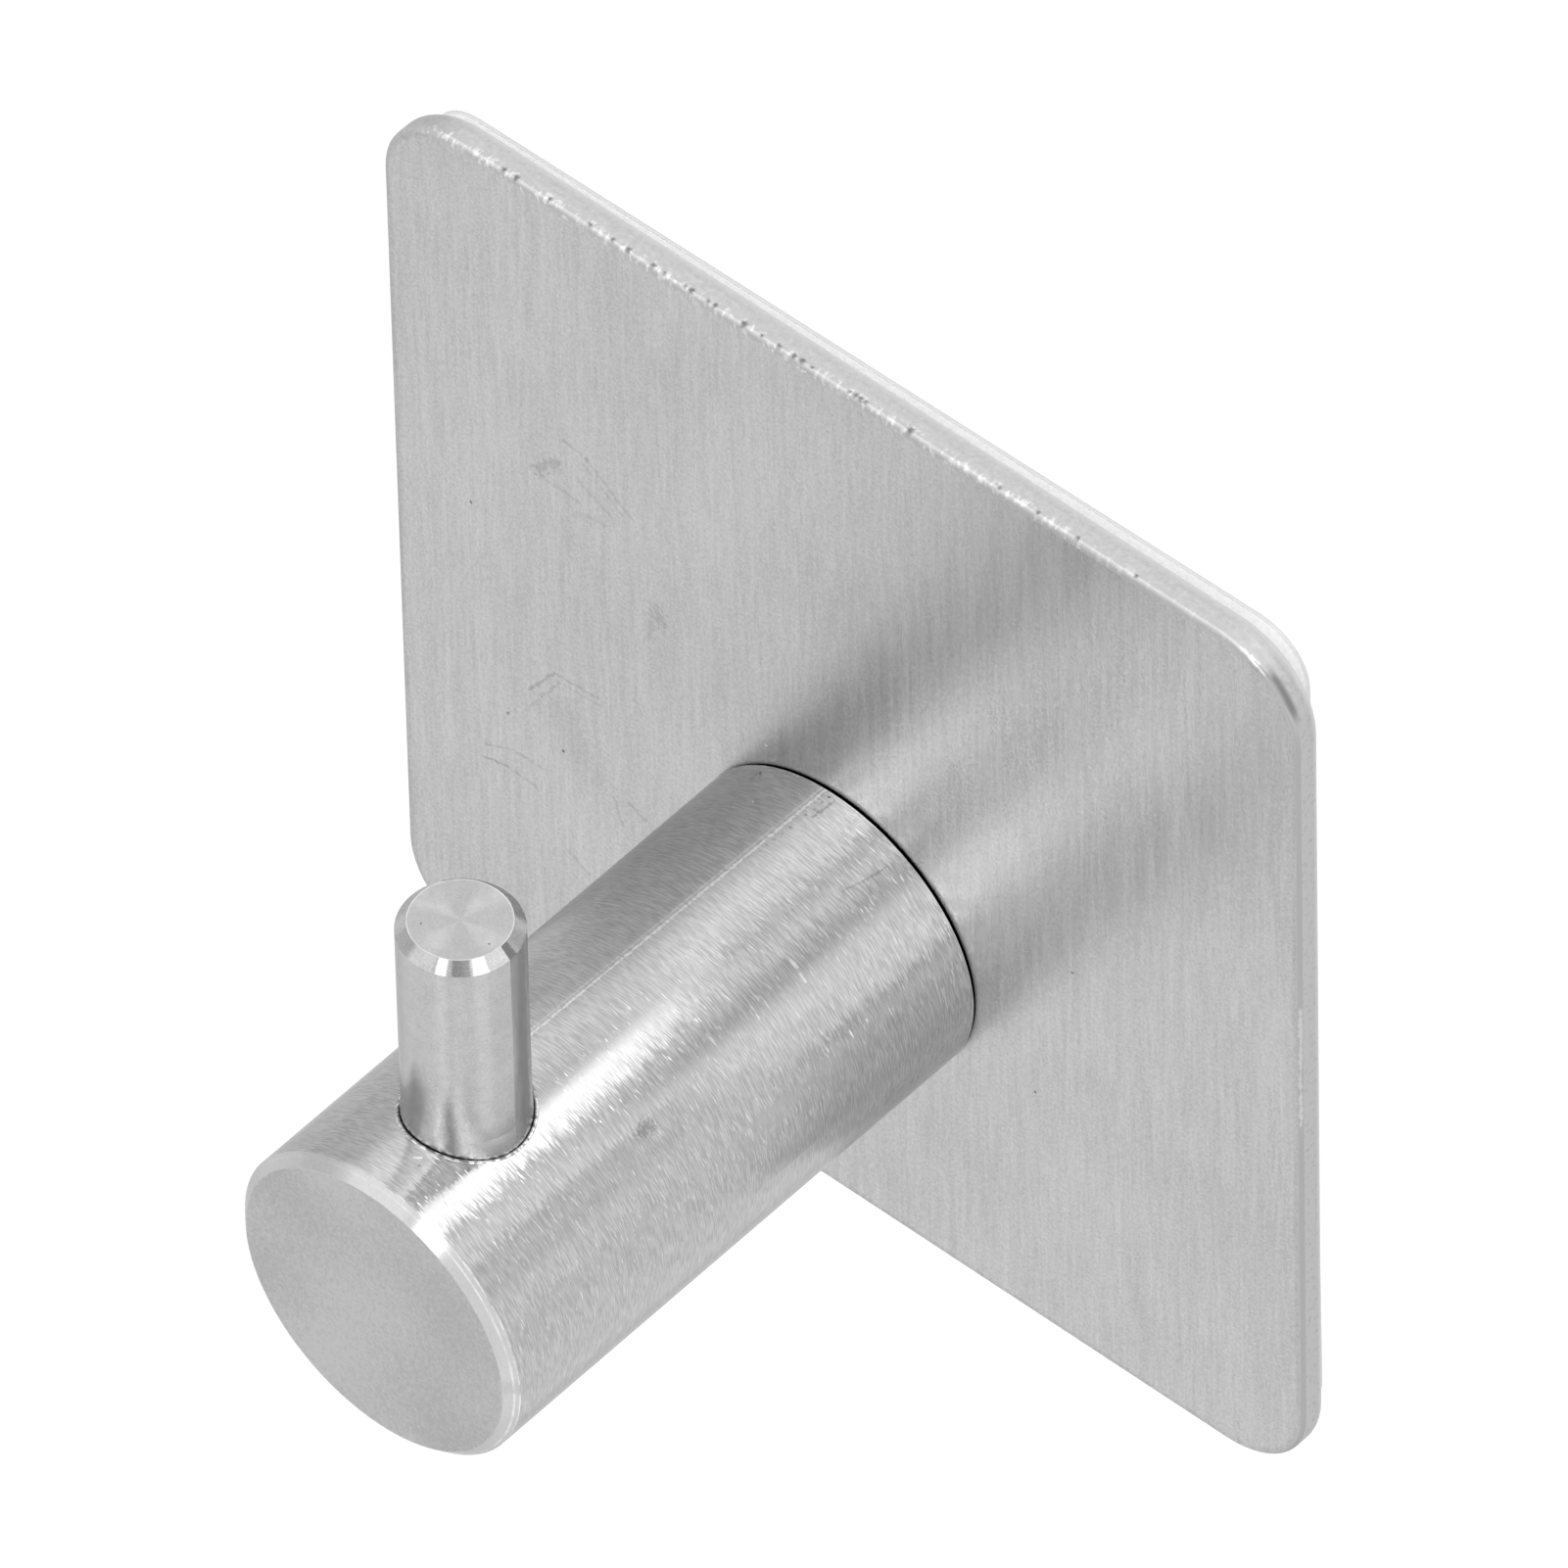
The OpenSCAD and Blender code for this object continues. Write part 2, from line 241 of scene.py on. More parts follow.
rough = add(tree, "Mix", {0: edge, 2: rough, 3: 0.5}, data_type="FLOAT")
# The rim is rubbed along its length, and the face across the grain's direction.
rubbed = add(tree, "VectorMath", {0: normal, 1: (0, 1, 0)}, operation="CROSS_PRODUCT")
rubbed = add(tree, "VectorMath", {0: rubbed, 1: (0.1, 0, 0)}, operation="ADD")
# Heights in units of 3 microns: pits on the sides, and shreds and nicks on the edge.
height = add(tree, "Math", {0: mottle, 1: 1.5, 2: specks}, operation="MULTIPLY_ADD")
height = add(tree, "Math", {0: height, 1: side}, operation="MULTIPLY")
torn = add(tree, "Math", {0: teeth, 1: worn_and_highlit_edge}, operation="MULTIPLY")
height = add(tree, "Math", {0: torn, 1: 4, 2: height}, operation="MULTIPLY_ADD")
height = add(tree, "Math", {0: nicks, 1: -8, 2: height}, operation="MULTIPLY_ADD")
bump = {"Strength": 0.09, "Distance": 0.000003, "Height": height}
surface = add(tree, "BsdfPrincipled", {
    "Base Color": colour, "Metallic": 1.0, "Roughness": rough, "Specular Tint": srgb("E2E2E2"),
    "Anisotropic": smear, "Tangent": rubbed, "Normal": add(tree, "Bump", bump),
})
add(tree, "OutputMaterial", {"Surface": surface}, out=None)
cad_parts["wall_plate"].material_slots[0].material = plate_steel


# ---- Post -------------------------------------------------------------------------------------
# The post is a length of 14 mm stainless bar, turned, faced and chamfered, and held by a screw from
# behind. It is rubbed round by hand with an abrasive pad, which leaves short bright strokes.
post_end, post_chamfer = -29.0, 0.45

# Pad rubbed stainless bar: reflections run along it as bands with hairy borders, since each stroke
# round the bar tilts the light a little.
post_steel, tree, point, normal = new_finish("pad_rubbed_stainless_bar")
y = add(tree, "SeparateXYZ", {0: point}, out="Y")
nx, ny, nz = add(tree, "SeparateXYZ", {0: normal}, out=None)
facing = add(tree, "Math", {0: ny}, operation="ABSOLUTE")
barrel = {"Value": facing, 1: 0.35, 2: 0.1}
barrel = add(tree, "MapRange", barrel, interpolation_type="SMOOTHSTEP")
faced = {"Value": facing, 1: 0.85, 2: 0.97}
faced = add(tree, "MapRange", faced, interpolation_type="SMOOTHSTEP")
# The pad's grit is about 0.04 mm. Its strokes are 0.6 to 0.7 mm long and drawn 0.05 to 0.06 mm
# wide: one dense set round the bar, and two of single strokes that slant as the hand moved. Their
# tilt and their painted white glints are kept to the lit upper right of the bar.
lean = 0.0
dashes = 0.0
for slant, width, length, low, high, tilt in (
    (0.0, 0.05, 0.6, 0.35, 0.65, 0.05),
    (0.08, 0.06, 0.7, 0.66, 0.73, 0.13),
    (-0.05, 0.06, 0.6, 0.66, 0.73, -0.1),
):
    at = {"Vector": point, "Rotation": (slant, 0, slant), "Scale": (length, width, length)}
    at = add(tree, "Mapping", at, vector_type="TEXTURE")
    stroke = add(tree, "TexNoise", {"Vector": at, "Scale": 1, "Detail": 1.5, "Roughness": 0.5})
    stroke = {"Value": stroke, 1: low, 2: high}
    stroke = add(tree, "MapRange", stroke, interpolation_type="SMOOTHSTEP")
    if low < 0.5:
        fine = stroke
        stroke = add(tree, "Math", {0: stroke, 1: 0.5}, operation="SUBTRACT")
    else:
        dashes = add(tree, "Math", {0: dashes, 1: stroke}, operation="MAXIMUM")
    lean = add(tree, "Math", {0: stroke, 1: tilt, 2: lean}, operation="MULTIPLY_ADD")
lit_upper_right = add(tree, "Math", {0: nx, 1: nz}, operation="MULTIPLY")
lit_upper_right = add(tree, "MapRange", {"Value": lit_upper_right, 1: 0.0, 2: 0.25, 3: 0.2, 4: 1})
lit_upper_right = add(tree, "Math", {0: lit_upper_right, 1: barrel}, operation="MULTIPLY")
lean = add(tree, "Math", {0: lean, 1: lit_upper_right}, operation="MULTIPLY")
dashes = add(tree, "Math", {0: dashes, 1: lit_upper_right}, operation="MULTIPLY")
specks = add(tree, "TexNoise", {"Vector": point, "Scale": 1 / 0.15, "Detail": 3, "Roughness": 0.7})
tone = add(tree, "MapRange", {"Value": fine, 1: 0.1, 2: 0.9})
colour = add(tree, "Mix", {0: tone, 6: srgb("BCBCBC"), 7: srgb("D4D4D4")}, out=2, data_type="RGBA")
# The faced end was rubbed flat: fine specks, faint upright scratches and clouds 5 mm wide.
scratch_at = add(tree, "Mapping", {"Vector": point, "Scale": (0.12, 1, 1)}, vector_type="TEXTURE")
scratches = add(tree, "TexNoise", {"Vector": scratch_at, "Scale": 1, "Detail": 2})
clouds = add(tree, "TexNoise", {"Vector": point, "Scale": 1 / 5, "Detail": 0})
scuffed = add(tree, "Math", {0: specks, 1: 0.6}, operation="MULTIPLY")
scuffed = add(tree, "Math", {0: scratches, 1: 0.1, 2: scuffed}, operation="MULTIPLY_ADD")
scuffed = add(tree, "Math", {0: clouds, 1: 0.3, 2: scuffed}, operation="MULTIPLY_ADD")
scuffed = add(tree, "MapRange", {"Value": scuffed, 1: 0.4, 2: 0.6})
dull = add(tree, "Mix", {0: scuffed, 6: srgb("BCBCBC"), 7: srgb("D0D0D0")}, out=2, data_type="RGBA")
colour = add(tree, "Mix", {0: faced, 6: colour, 7: dull}, out=2, data_type="RGBA")
# The chamfer is cut bright.
chamfered = add(tree, "Math", {0: barrel, 1: faced}, operation="ADD")
chamfered = add(tree, "Math", {0: 1.0, 1: chamfered}, operation="SUBTRACT", use_clamp=True)
fresh = add(tree, "Mix", {0: specks, 6: srgb("CCCCCC"), 7: srgb("E2E2E2")}, out=2, data_type="RGBA")
colour = add(tree, "Mix", {0: chamfered, 6: colour, 7: fresh}, out=2, data_type="RGBA")
# The single strokes on the lit upper right are painted white as glints.
glints = add(tree, "Math", {0: dashes, 1: 0.9}, operation="MULTIPLY")
colour = add(tree, "Mix", {0: glints, 6: colour, 7: srgb("FAFAFA")}, out=2, data_type="RGBA")


def on_bar(angle, y):
    """A point on the bar by its turn from the right hand side and its distance out."""
    turn = math.radians(angle)
    return post_x + post_r * math.cos(turn), y, post_z + post_r * math.sin(turn)


# Two light drawing lines run along the bar from the joint to the pin, with chatter beside them.
# The rest are single knocks, rubs and scratches.
dotted = add(tree, "MapRange", {"Value": specks, 1: 0.4, 2: 0.6})
for angle0, y0, angle1, y1, half, share, code in (
    (93.0, -2.65, 94.6, -20.0, 0.05, 0.8, "F8F8F8"),
    (94.6, -2.65, 96.2, -20.0, 0.035, 0.5, "F0F0F0"),
    (87.7, -2.9, 88.5, -4.0, 0.07, 0.5, "767676"),
    (109.6, -4.65, 109.6, -4.65, 0.09, 1.0, "FFFFFF"),
    (113.5, -5.3, 113.5, -5.3, 0.05, 0.9, "FFFFFF"),
    (119.8, -3.5, 118.6, -3.05, 0.04, 0.6, "606060"),
    (118.6, -3.05, 117.2, -3.25, 0.04, 0.6, "606060"),
    (47.4, -18.6, 46.6, -18.9, 0.25, 0.5, "7C7C7C"),
    (61.5, -4.5, 60.5, -3.5, 0.05, 0.45, "7C7C7C"),
    (63.6, -5.7, 61.5, -4.5, 0.04, 0.35, "7C7C7C"),
    (35.3, -2.8, 18.5, -3.4, 0.04, 0.5, "F4F4F4"),
    (57.7, -9.3, 49.8, -9.4, 0.05, 0.8, "FFFFFF"),
    (87.8, -26.7, 86.5, -26.6, 0.06, 0.8, "FFFFFF"),
    (84.6, -26.9, 84.2, -26.9, 0.05, 0.5, "707070"),
    (73.5, -25.6, 72.9, -25.7, 0.05, 0.7, "606060"),
):
    start, end = on_bar(angle0, y0), on_bar(angle1, y1)
    colour = scuff(tree, colour, point, dotted, start, end, half, share, code)
# The chatter is ten dots 0.4 mm apart, which fade away from the joint.
for step in range(10):
    spot = on_bar(90.3 + 0.12 * step, -2.9 - 0.42 * step)
    colour = scuff(tree, colour, point, dotted, spot, spot, 0.06, 0.8 - 0.06 * step, "707070")
# The arrises of the end chamfer are burnished, and painted white as highlight hairlines 0.05 to
# 0.1 mm wide, most of all to the right, where the light catches them and the outer one is double.
flat = add(tree, "VectorMath", {0: point, 1: (1, 0, 1)}, operation="MULTIPLY")
radius = add(tree, "VectorMath", {0: flat, 1: post_axis}, out="Value", operation="DISTANCE")
arris_y, arris_r = post_end + post_chamfer, post_r - post_chamfer
outer = add(tree, "MapRange", {"Value": y, 1: arris_y + 0.1, 2: arris_y + 0.06})
inner = add(tree, "MapRange", {"Value": radius, 1: arris_r - 0.06, 2: arris_r - 0.03})
ended = add(tree, "MapRange", {"Value": y, 1: post_end + 0.06, 2: post_end + 0.03})
inner = add(tree, "Math", {0: inner, 1: ended}, operation="MULTIPLY")
outer = add(tree, "Math", {0: outer, 1: barrel}, operation="MULTIPLY")
inner = add(tree, "Math", {0: inner, 1: faced}, operation="MULTIPLY")
arris = add(tree, "Math", {0: outer, 1: inner}, operation="MAXIMUM")
second = add(tree, "Math", {0: radius, 1: post_r - 0.14, 2: 0.03}, operation="COMPARE")
second = add(tree, "Math", {0: second, 1: chamfered}, operation="MULTIPLY")
second = add(tree, "Math", {0: second, 1: 0.7}, operation="MULTIPLY")
arris = add(tree, "Math", {0: arris, 1: second}, operation="MAXIMUM")
rightward = add(tree, "MapRange", {"Value": nx, 1: 0.0, 2: 0.4, 3: 0.2, 4: 1})
arris = add(tree, "Math", {0: arris, 1: rightward}, operation="MULTIPLY")
burnished_glint_patches = {"Vector": point, "Scale": 1 / 0.7, "Detail": 3, "Roughness": 0.7}
burnished_glint_patches = add(tree, "TexNoise", burnished_glint_patches)
burnished_glint_patches = add(tree, "MapRange", {"Value": burnished_glint_patches, 1: 0.38, 2: 0.55, 3: 0.2, 4: 1})
arris = add(tree, "Math", {0: arris, 1: burnished_glint_patches}, operation="MULTIPLY")
colour = add(tree, "Mix", {0: arris, 6: colour, 7: srgb("FFFFFF")}, out=2, data_type="RGBA")
step_start, step_end = (5.55, -28.95, -3.6), (5.75, -28.7, -3.45)
colour = scuff(tree, colour, point, dotted, step_start, step_end, 0.07, 0.6, "808080")
# The foot's chamfer is painted black as shade in the joint, under a painted highlight hairline.
painted_foot_highlight = {"Value": y, 1: plate_front - 0.2, 2: plate_front - 0.14, 3: 0, 4: 0.5}
painted_foot_highlight = add(tree, "MapRange", painted_foot_highlight)
colour = add(tree, "Mix", {0: painted_foot_highlight, 6: colour, 7: srgb("F8F8F8")}, out=2, data_type="RGBA")
painted_foot_shade = add(tree, "MapRange", {"Value": y, 1: plate_front - 0.1, 2: plate_front - 0.06})
colour = add(tree, "Mix", {0: painted_foot_shade, 6: colour, 7: srgb("0A0A0A")}, out=2, data_type="RGBA")
# Light leans off each stroke round the bar. The faced end is dull and has no direction.
round_way = add(tree, "VectorMath", {0: normal, 1: (0, 1, 0)}, operation="CROSS_PRODUCT")
leaning = add(tree, "VectorMath", {0: round_way, "Scale": lean}, operation="SCALE")
bent = add(tree, "VectorMath", {0: normal, 1: leaning}, operation="ADD")
bent = add(tree, "VectorMath", {0: bent}, operation="NORMALIZE")
around = add(tree, "VectorMath", {0: round_way, 1: (0.03, 0, 0)}, operation="ADD")
rough = add(tree, "Mix", {0: faced, 2: 0.2, 3: 0.42}, data_type="FLOAT")
rough = add(tree, "Mix", {0: chamfered, 2: rough, 3: 0.14}, data_type="FLOAT")
bump = {"Strength": 0.2, "Distance": 0.000004, "Height": specks, "Normal": bent}
surface = add(tree, "BsdfPrincipled", {
    "Base Color": colour, "Metallic": 1.0, "Roughness": rough, "Specular Tint": srgb("E2E2E2"),
    "Anisotropic": 0.85, "Anisotropic Rotation": 0.25, "Tangent": around,
    "Normal": add(tree, "Bump", bump),
})
add(tree, "OutputMaterial", {"Surface": surface}, out=None)
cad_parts["hook_post"].material_slots[0].material = post_steel


# ---- Lip of the pin's hole --------------------------------------------------------------------
# The drill throws up a fine burr round the cross hole, and pressing the pin in folds it over. It is
# part of the bar's own steel, 0.03 mm high and uneven, and follows the round of the bar.
pin_x, pin_y, pin_r = -0.45, -23.5, 2.5
mouth_r = 2.66
# How far each edge of the lip lies outside the hole's mouth and above the bar, in mm.
lip_edges = (
    (0.07, -0.012), (0.04, 0.014), (0.005, 0.022), (-0.078, 0.004), (-0.08, -0.05), (0.002, -0.07),
)
lip_mesh = bmesh.new()
steps = 240
rings = []
for step in range(steps):
    turn = 2 * math.pi * step / steps
    # The burr stands higher on some sides of the hole than on others.
    rise = 0.6 + 0.9 * noise.noise((math.cos(turn) * 4, math.sin(turn) * 4, 0.3))
    ring = []
    for out, up in lip_edges:
        r = mouth_r + out * (0.8 + 0.4 * rise if out > 0 else 1)
        px, py = pin_x + r * math.cos(turn), pin_y + r * math.sin(turn)
        over = max(up, 0) * rise + min(up, 0)
        pz = post_z + math.sqrt(post_r**2 - (px - post_x) ** 2) + over
        ring.append(lip_mesh.verts.new((px / 1000, py / 1000, pz / 1000)))
    rings.append(ring)
for step in range(steps):
    ring, after = rings[step], rings[(step + 1) % steps]
    for k in range(len(ring)):
        k2 = (k + 1) % len(ring)
        lip_mesh.faces.new((ring[k], ring[k2], after[k2], after[k])).smooth = True
bmesh.ops.recalc_face_normals(lip_mesh, faces=lip_mesh.faces)
lip_data = bpy.data.meshes.new("pin_hole_lip")
lip_mesh.to_mesh(lip_data)
lip_mesh.free()
lip = bpy.data.objects.new("pin_hole_lip", lip_data)
bpy.context.scene.collection.objects.link(lip)
# Folded burr: the bar's steel again, but crushed bright, with dull specks where it tore.
burr_steel, tree, point, _ = new_finish("folded_steel_burr")
torn = add(tree, "TexNoise", {"Vector": point, "Scale": 1 / 0.2, "Detail": 2})
torn = add(tree, "MapRange", {"Value": torn, 1: 0.4, 2: 0.6})
colour = add(tree, "Mix", {0: torn, 6: srgb("9A9A9A"), 7: srgb("F2F2F2")}, out=2, data_type="RGBA")
rough = add(tree, "MapRange", {"Value": torn, 3: 0.4, 4: 0.2})
surface = add(tree, "BsdfPrincipled", {"Base Color": colour, "Metallic": 1.0, "Roughness": rough})
add(tree, "OutputMaterial", {"Surface": surface}, out=None)
lip_data.materials.append(burr_steel)
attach(lip, "hook")


# ---- Pin --------------------------------------------------------------------------------------
# The pin is 5 mm ground stainless rod with a turned, chamfered top. Its shank swells by 0.1 mm and
# is pressed into the cross hole, which leaves a fine dark ring round it.
pin_top, pin_chamfer = 10.4, 0.45

# Ground stainless rod: a smooth satin with no grain to see, and chamfers cut bright by the tool.
pin_steel, tree, point, normal = new_finish("ground_stainless_rod")
x, y, _ = add(tree, "SeparateXYZ", {0: point}, out=None)
nz = add(tree, "SeparateXYZ", {0: normal}, out="Z")
# Centreless grinding leaves marks finer than 0.01 mm, which don't show. Specks of 0.09 mm do.
specks = add(tree, "TexNoise", {"Vector": point, "Scale": 1 / 0.09, "Detail": 2, "Roughness": 0.7})
blotches = add(tree, "TexNoise", {"Vector": point, "Scale": 1 / 0.6, "Detail": 2})
tone = add(tree, "Math", {0: specks, 1: 0.7}, operation="MULTIPLY")
tone = add(tree, "Math", {0: blotches, 1: 0.3, 2: tone}, operation="MULTIPLY_ADD")
tone = add(tree, "MapRange", {"Value": tone, 1: 0.35, 2: 0.65})
colour = add(tree, "Mix", {0: tone, 6: srgb("BCBCBC"), 7: srgb("D2D2D2")}, out=2, data_type="RGBA")
crown = add(tree, "MapRange", {"Value": nz, 1: 0.85, 2: 0.97}, interpolation_type="SMOOTHSTEP")
cut = add(tree, "MapRange", {"Value": nz, 1: 0.3, 2: 0.6}, interpolation_type="SMOOTHSTEP")
cut = add(tree, "Math", {0: cut, 1: crown}, operation="SUBTRACT", use_clamp=True)
# The top is a little duller, and a painted highlight fans over it in four sectors, as the facing
# tool's ripples would fan the light.
east = add(tree, "Math", {0: x, 1: pin_x}, operation="SUBTRACT")
north = add(tree, "Math", {0: y, 1: pin_y}, operation="SUBTRACT")
bearing = add(tree, "Math", {0: north, 1: east}, operation="ARCTAN2")
painted_fan_highlight = add(tree, "Math", {0: bearing, 1: 4.0}, operation="MULTIPLY")
painted_fan_highlight = add(tree, "Math", {0: painted_fan_highlight}, operation="COSINE")
painted_fan_highlight = {"Value": painted_fan_highlight, 1: -0.3, 2: 1.0, 3: 0, 4: 0.3}
painted_fan_highlight = add(tree, "MapRange", painted_fan_highlight, interpolation_type="SMOOTHSTEP")
painted_fan_highlight = add(tree, "Math", {0: painted_fan_highlight, 1: blotches}, operation="MULTIPLY")
painted_fan_highlight = add(tree, "Math", {0: painted_fan_highlight, 1: crown}, operation="MULTIPLY")
dull = add(tree, "Math", {0: crown, 1: 0.3}, operation="MULTIPLY")
colour = add(tree, "Mix", {0: dull, 6: colour, 7: srgb("A8A8A8")}, out=2, data_type="RGBA")
colour = add(tree, "Mix", {0: painted_fan_highlight, 6: colour, 7: srgb("F6F6F6")}, out=2, data_type="RGBA")
# Two specks in the top, and the bright arris round it.
for spot in ((-1.44, -24.61, pin_top), (1.18, -23.69, pin_top)):
    colour = scuff(tree, colour, point, specks, spot, spot, 0.05, 0.9, "787878")
flat = add(tree, "VectorMath", {0: point, 1: (1, 1, 0)}, operation="MULTIPLY")
radius = add(tree, "VectorMath", {0: flat, 1: (pin_x, pin_y, 0)}, out="Value", operation="DISTANCE")
arris_r = pin_r - pin_chamfer
arris = add(tree, "MapRange", {"Value": radius, 1: arris_r - 0.06, 2: arris_r - 0.03})
arris = add(tree, "Math", {0: arris, 1: crown}, operation="MULTIPLY")
arris = add(tree, "Math", {0: arris, 1: blotches}, operation="MULTIPLY")
colour = add(tree, "Mix", {0: arris, 6: colour, 7: srgb("FFFFFF")}, out=2, data_type="RGBA")
rough = add(tree, "Mix", {0: crown, 2: 0.21, 3: 0.34}, data_type="FLOAT")
rough = add(tree, "Mix", {0: cut, 2: rough, 3: 0.1}, data_type="FLOAT")
# Grinding runs round the pin, so light spreads along it, and from the middle outward on its top.
outward = add(tree, "VectorMath", {0: flat, 1: (pin_x, pin_y, 0)}, operation="SUBTRACT")
around = add(tree, "VectorMath", {0: outward, 1: (0, 0, 1)}, operation="CROSS_PRODUCT")
bump = {"Strength": 0.25, "Distance": 0.000003, "Height": specks}
surface = add(tree, "BsdfPrincipled", {
    "Base Color": colour, "Metallic": 1.0, "Roughness": rough, "Specular Tint": srgb("E0E0E0"),
    "Anisotropic": 0.5, "Anisotropic Rotation": 0.25, "Tangent": around,
    "Normal": add(tree, "Bump", bump),
})
add(tree, "OutputMaterial", {"Surface": surface}, out=None)
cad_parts["hook_pin"].material_slots[0].material = pin_steel


# ---- Screw ------------------------------------------------------------------------------------
# An M4 countersunk machine screw of stainless steel pulls the post against the plate from behind.
# The pad covers its head.
# Cold headed stainless steel: bright but uneven, with the die's fine rings round it.
screw_steel, tree, point, _ = new_finish("cold_headed_stainless_screw")
# The die leaves rings about 0.1 mm apart along the screw.
at = add(tree, "Mapping", {"Vector": point, "Scale": (3, 0.1, 3)}, vector_type="TEXTURE")
rings = add(tree, "TexNoise", {"Vector": at, "Scale": 1, "Detail": 2})
colour = add(tree, "Mix", {0: rings, 6: srgb("9C9C9C"), 7: srgb("B8B8B8")}, out=2, data_type="RGBA")
rough = add(tree, "MapRange", {"Value": rings, 1: 0.3, 2: 0.7, 3: 0.25, 4: 0.4})
bump = {"Strength": 0.3, "Distance": 0.00001, "Height": rings}
surface = add(tree, "BsdfPrincipled", {
    "Base Color": colour, "Metallic": 1.0, "Roughness": rough, "Normal": add(tree, "Bump", bump),
})
add(tree, "OutputMaterial", {"Surface": surface}, out=None)
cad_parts["post_screw"].material_slots[0].material = screw_steel


# ---- Adhesive coats ---------------------------------------------------------------------------
# A 0.05 mm coat of acrylic adhesive on each face of the foam. The front one holds the plate, and
# the rear one waits under the liner for the wall.
# Clear acrylic adhesive: it looks nearly white on the foam, with a wet gloss and fine dimples.
adhesive, tree, point, _ = new_finish("clear_acrylic_adhesive")
# The coater's comb leaves waves about 0.8 mm apart.
dimples = add(tree, "TexNoise", {"Vector": point, "Scale": 1 / 0.8, "Detail": 2})
milky = {0: dimples, 6: srgb("DFDFDD"), 7: srgb("EAEAE8")}
colour = add(tree, "Mix", milky, out=2, data_type="RGBA")
rough = add(tree, "MapRange", {"Value": dimples, 1: 0.3, 2: 0.7, 3: 0.15, 4: 0.25})
bump = {"Strength": 0.4, "Distance": 0.00002, "Height": dimples}
surface = add(tree, "BsdfPrincipled", {
    "Base Color": colour, "Roughness": rough, "IOR": 1.47, "Normal": add(tree, "Bump", bump),
})
add(tree, "OutputMaterial", {"Surface": surface}, out=None)
for coat in ("front_adhesive", "rear_adhesive"):
    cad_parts[coat].material_slots[0].material = adhesive


# ---- Foam pad ---------------------------------------------------------------------------------
# A 44 mm square of 0.8 mm polyethylene foam tape, die cut and stuck on by hand, 0.4 mm to the left,
# 0.3 mm low and turned by half a degree. Its cut rim is pinched at both faces and pitted by cells.
pad_side, pad_corner, pad_turn = 44.0, 2.4, math.radians(0.5)
pad_middle = Vector((-0.4, 0.0, -0.3))
foam_back, foam_t = -0.15, 0.8
corner_steps, side_steps = 12, 160
rim = []
run = pad_side / 2 - pad_corner
for corner, (cx, cz) in enumerate(((run, run), (-run, run), (-run, -run), (run, -run))):
    for step in range(corner_steps + 1):
        turn = math.radians(90 * corner + 90 * step / corner_steps)
        out_x, out_z = math.cos(turn), math.sin(turn)
        rim.append((cx + pad_corner * out_x, cz + pad_corner * out_z, out_x, out_z))
    next_x, next_z = ((-run, run), (-run, -run), (run, -run), (run, run))[corner]
    for step in range(1, side_steps):
        share = step / side_steps
        mx, mz = cx + (next_x - cx) * share, cz + (next_z - cz) * share
        rim.append((mx + pad_corner * out_x, mz + pad_corner * out_z, out_x, out_z))
foam_mesh = bmesh.new()
layers = []
# Depth into the foam from its back, and how far the rim is drawn in there, both in mm.
for depth, drawn in (
    (0.0, 0.015), (0.03, 0.004), (0.15, 0.0), (0.3, 0.006),
    (0.5, 0.006), (0.65, 0.0), (0.77, 0.004), (foam_t, 0.015),
):
    layer = []
    for px, pz, out_x, out_z in rim:
        # Cut cells pit the rim by up to 0.015 mm, and the blade's waves by up to 0.012 mm.
        pit = max(noise.noise((px / 0.25, depth / 0.2, pz / 0.25)), 0) * 0.015
        pit += max(noise.noise((px / 1.5, depth / 0.8, pz / 1.5)), 0) * 0.012
        inset = drawn + (pit if 0 < depth < foam_t else 0)
        qx, qz = px - out_x * inset, pz - out_z * inset
        vx = qx * math.cos(pad_turn) - qz * math.sin(pad_turn) + pad_middle.x
        vz = qx * math.sin(pad_turn) + qz * math.cos(pad_turn) + pad_middle.z
        layer.append(foam_mesh.verts.new((vx / 1000, (foam_back - depth) / 1000, vz / 1000)))
    layers.append(layer)
for lower, higher in zip(layers, layers[1:]):
    for k in range(len(rim)):
        k2 = (k + 1) % len(rim)
        foam_mesh.faces.new((lower[k], lower[k2], higher[k2], higher[k])).smooth = True
foam_mesh.faces.new(layers[0])
foam_mesh.faces.new(layers[-1])
bmesh.ops.recalc_face_normals(foam_mesh, faces=foam_mesh.faces)
foam_data = bpy.data.meshes.new("foam_tape_pad")
foam_mesh.to_mesh(foam_data)
foam_mesh.free()
foam = bpy.data.objects.new("foam_tape_pad", foam_data)
bpy.context.scene.collection.objects.link(foam)
# Closed cell polyethylene foam: chalk white and quite dull, with cut cells like fine pores.
foam_finish, tree, point, _ = new_finish("white_polyethylene_foam")
# The cells are 0.15 to 0.3 mm across.
cells = add(tree, "TexVoronoi", {"Vector": point, "Scale": 1 / 0.22, "Randomness": 1.0})
cells = add(tree, "MapRange", {"Value": cells, 1: 0.1, 2: 0.7})
colour = add(tree, "Mix", {0: cells, 6: srgb("E6E6E6"), 7: srgb("EEEEEE")}, out=2, data_type="RGBA")
bump = {"Strength": 0.5, "Distance": 0.00003, "Height": cells}
surface = add(tree, "BsdfPrincipled", {
    "Base Color": colour, "Roughness": 0.9, "Normal": add(tree, "Bump", bump),
})
add(tree, "OutputMaterial", {"Surface": surface}, out=None)
foam_data.materials.append(foam_finish)
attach(foam, "hook")
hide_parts("foam_pad")


# ---- Release liner ----------------------------------------------------------------------------
# A 0.1 mm polyester film with a silicone release coat, cut with the tape. It is peeled off before
# the hook goes on the wall.
# Siliconised film: a cool grey-white, smooth and faintly glossy, with slow waves from the roll.
film, tree, point, _ = new_finish("siliconised_polyester_film")
